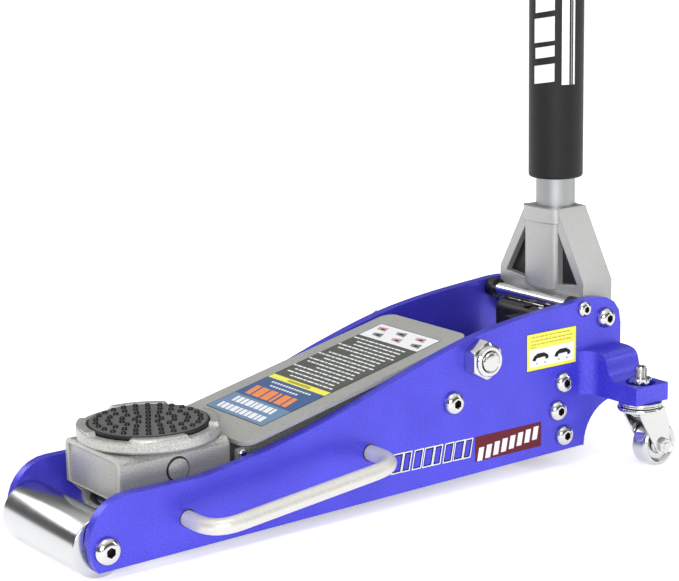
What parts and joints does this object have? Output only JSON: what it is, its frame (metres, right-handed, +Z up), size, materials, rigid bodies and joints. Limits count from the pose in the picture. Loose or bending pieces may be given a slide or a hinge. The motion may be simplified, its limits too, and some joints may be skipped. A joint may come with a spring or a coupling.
{
  "type": "hydraulic floor jack",
  "caption": "Low-profile hydraulic floor jack: blue side plates, front roller, level-lift arm with round rubber saddle, tilting yoke with take-down handle, swivel casters.",
  "frame": {"origin": "on the floor under the middle of the jack's box, on the plane midway between the side plates", "axes": "+Z up along the upright handle; +X from the front roller towards the handle and casters; +Y from the side with the carrying handle to the far side"},
  "size_m": [0.5418, 0.25, 1.1],
  "materials": {
    "blue_plate": "satin blue anodised, with a fine metallic grain",
    "cast_yoke": "smooth grey casting",
    "silver_paint": "hammered silver-grey metallic paint",
    "dark_paint": "dark grey cast finish",
    "zinc_plate": "bright zinc plate",
    "chrome_roller": "polished with fine turning marks",
    "chrome_rod": "polished chrome",
    "caster_chrome": "polished nickel plate",
    "wheel_steel": "turned steel",
    "steel": "plain steel",
    "handle_tube": "silver tube, brushed",
    "satin_tube": "satin pearl silver",
    "rubber_pad": "moulded rubber, ribbed",
    "grip_rubber": "moulded grip",
    "foam_sleeve": "closed-cell foam, matt",
    "black_plastic": "moulded black plastic"
  },
  "bodies": {
    "frame": {"arm_pivot_bolt": "zinc_plate", "arm_pivot_nut": "zinc_plate", "caster_stem_far": "zinc_plate", "caster_stem_near": "zinc_plate", "cross_bar": "chrome_rod", "cross_bar_screw_far": "zinc_plate", "cross_bar_screw_near": "zinc_plate", "cross_bar_sleeve_far": "black_plastic", "cross_bar_sleeve_near": "black_plastic", "hydraulic_cylinder": "steel", "link_bolt_far": "zinc_plate", "link_bolt_near": "zinc_plate", "power_unit": "dark_paint", "power_unit_bolt_low_far": "zinc_plate", "power_unit_bolt_low_near": "zinc_plate", "power_unit_bolt_middle_far": "zinc_plate", "power_unit_bolt_middle_near": "zinc_plate", "power_unit_bolt_top_far": "zinc_plate", "power_unit_bolt_top_near": "zinc_plate", "pump_spring": "steel", "return_spring_far": "steel", "return_spring_near": "steel", "roller_axle": "steel", "roller_bolt_far": "zinc_plate", "roller_bolt_near": "zinc_plate", "side_handle": "satin_tube", "side_plate_far": "blue_plate", "side_plate_near": "blue_plate", "yoke_bolt_far": "zinc_plate", "yoke_bolt_near": "zinc_plate"},
    "front_roller": {"front_roller": "chrome_roller"},
    "lift_arm": {"arm_cover": "silver_paint", "arm_tongue_near": "silver_paint", "arm_tongue_far": "silver_paint", "arm_side_near": "silver_paint", "arm_side_far": "silver_paint", "arm_crank": "silver_paint"},
    "head": {"saddle_head": "silver_paint", "head_pin": "zinc_plate", "link_pin": "steel"},
    "saddle": {"saddle_dish": "silver_paint", "saddle_pad": "rubber_pad"},
    "links": {"link_bar_near": "dark_paint", "link_bar_far": "dark_paint"},
    "ram": {"ram": "chrome_rod"},
    "yoke": {"handle_yoke": "cast_yoke"},
    "handle": {"handle_lower_tube": "handle_tube", "handle_upper_tube": "handle_tube", "handle_sleeve": "foam_sleeve", "handle_grip": "grip_rubber"},
    "plunger": {"pump_plunger": "chrome_rod"},
    "release_valve": {"release_valve": "zinc_plate"},
    "caster_near": {"caster_fork_near": "caster_chrome", "caster_axle_near": "zinc_plate"},
    "caster_wheel_near": {"caster_wheel_near": "wheel_steel"},
    "caster_far": {"caster_fork_far": "caster_chrome", "caster_axle_far": "zinc_plate"},
    "caster_wheel_far": {"caster_wheel_far": "wheel_steel"}
  },
  "joints": [
    {"name": "roller_spin", "type": "hinge", "parent": "frame", "child": "front_roller", "pos_m": [-0.2479, 0, 0.023], "axis": [0, 1, 0], "continuous": true},
    {"name": "lift", "type": "hinge", "parent": "frame", "child": "lift_arm", "pos_m": [0.0971, 0, 0.108], "axis": [0, 1, 0], "range_deg": [0, 62], "deforming": ["return_spring_near", "return_spring_far"]},
    {"name": "head_level", "type": "hinge", "parent": "lift_arm", "child": "head", "pos_m": [-0.1729, 0, 0.0635], "axis": [0, 1, 0], "range_deg": [-62, 0]},
    {"name": "link_swing", "type": "hinge", "parent": "frame", "child": "links", "pos_m": [0.0711, 0, 0.0754], "axis": [0, 1, 0], "range_deg": [0, 62]},
    {"name": "saddle_turn", "type": "hinge", "parent": "head", "child": "saddle", "pos_m": [-0.1729, 0, 0.085], "axis": [0, 0, 1], "continuous": true},
    {"name": "ram_slide", "type": "slide", "parent": "frame", "child": "ram", "axis": [-1, 0, 0], "range_m": [0, 0.0516]},
    {"name": "yoke_tilt", "type": "hinge", "parent": "frame", "child": "yoke", "pos_m": [0.2355, 0, 0.1205], "axis": [0, 1, 0], "range_deg": [0, 75]},
    {"name": "plunger_slide", "type": "slide", "parent": "frame", "child": "plunger", "axis": [-1, 0, 0], "range_m": [0, 0.0145], "deforming": ["pump_spring"]},
    {"name": "handle_twist", "type": "hinge", "parent": "yoke", "child": "handle", "pos_m": [0.2365, 0, 0.2], "axis": [0, 0, 1], "range_deg": [0, 180]},
    {"name": "release_turn", "type": "hinge", "parent": "frame", "child": "release_valve", "pos_m": [0.2261, 0, 0.074], "axis": [1, 0, 0], "range_deg": [0, 180]},
    {"name": "caster_swivel_near", "type": "hinge", "parent": "frame", "child": "caster_near", "pos_m": [0.2358, -0.106, 0.052], "axis": [0, 0, 1], "continuous": true},
    {"name": "wheel_spin_near", "type": "hinge", "parent": "caster_near", "child": "caster_wheel_near", "pos_m": [0.2524, -0.106, 0.0185], "axis": [0, 1, 0], "continuous": true},
    {"name": "caster_swivel_far", "type": "hinge", "parent": "frame", "child": "caster_far", "pos_m": [0.2358, 0.106, 0.052], "axis": [0, 0, 1], "continuous": true},
    {"name": "wheel_spin_far", "type": "hinge", "parent": "caster_far", "child": "caster_wheel_far", "pos_m": [0.2524, 0.106, 0.0185], "axis": [0, 1, 0], "continuous": true}
  ],
  "couplings": [
    {"joint": "head_level", "follows": "lift", "ratio": -1},
    {"joint": "link_swing", "follows": "lift", "ratio": 1},
    {"joint": "ram_slide", "follows": "lift", "m_per_rad": 0.0476},
    {"joint": "plunger_slide", "follows": "yoke_tilt", "m_per_rad": 0.011},
    {"joint": "release_turn", "follows": "handle_twist", "ratio": 1}
  ]
}
